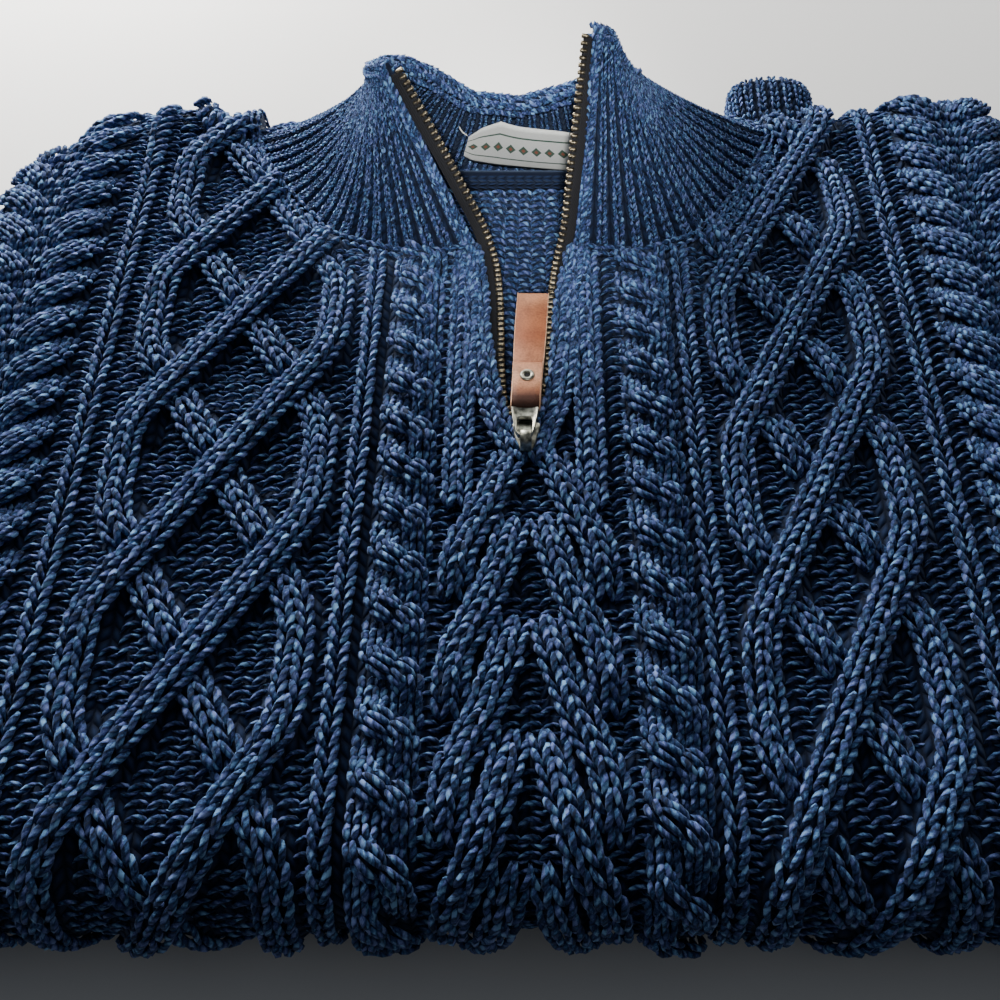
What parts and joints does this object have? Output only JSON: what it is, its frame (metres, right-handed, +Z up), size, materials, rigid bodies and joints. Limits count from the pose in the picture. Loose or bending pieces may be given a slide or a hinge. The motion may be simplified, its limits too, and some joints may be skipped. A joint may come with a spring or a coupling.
{
  "type": "folded half-zip sweater",
  "caption": "Chunky half-zip sweater in navy cable knit with a funnel collar, folded and lying face up, with a leather zip pull that swings.",
  "frame": {"origin": "middle of the footprint, on the surface the folded sweater lies on", "axes": "+Z up, -Y towards the front fold, +X towards the right as the front is looked at"},
  "size_m": [0.4038, 0.3358, 0.1078],
  "materials": {
    "navy_wool": "chunky marled knit",
    "black_tape": "woven zip tape",
    "antique_brass": "antique",
    "tan_leather": "smooth",
    "woven_label": "woven"
  },
  "bodies": {
    "garment": {"front": "navy_wool", "back": "navy_wool", "folded_layers": "navy_wool", "collar": "navy_wool", "cuff": "navy_wool", "zip_tape_left": "black_tape", "zip_tape_right": "black_tape", "zip_teeth_left": "antique_brass", "zip_teeth_right": "antique_brass", "zip_slider": "antique_brass", "neck_label": "woven_label"},
    "pull": {"pull_link": "antique_brass", "pull_leather": "tan_leather", "pull_rivet": "antique_brass"}
  },
  "joints": [
    {"name": "pull_swing", "type": "hinge", "parent": "garment", "child": "pull", "pos_m": [-0.00158, -0.02173, 0.0557], "axis": [0.9998, -0.0209, 0], "range_deg": [0, 165]}
  ]
}
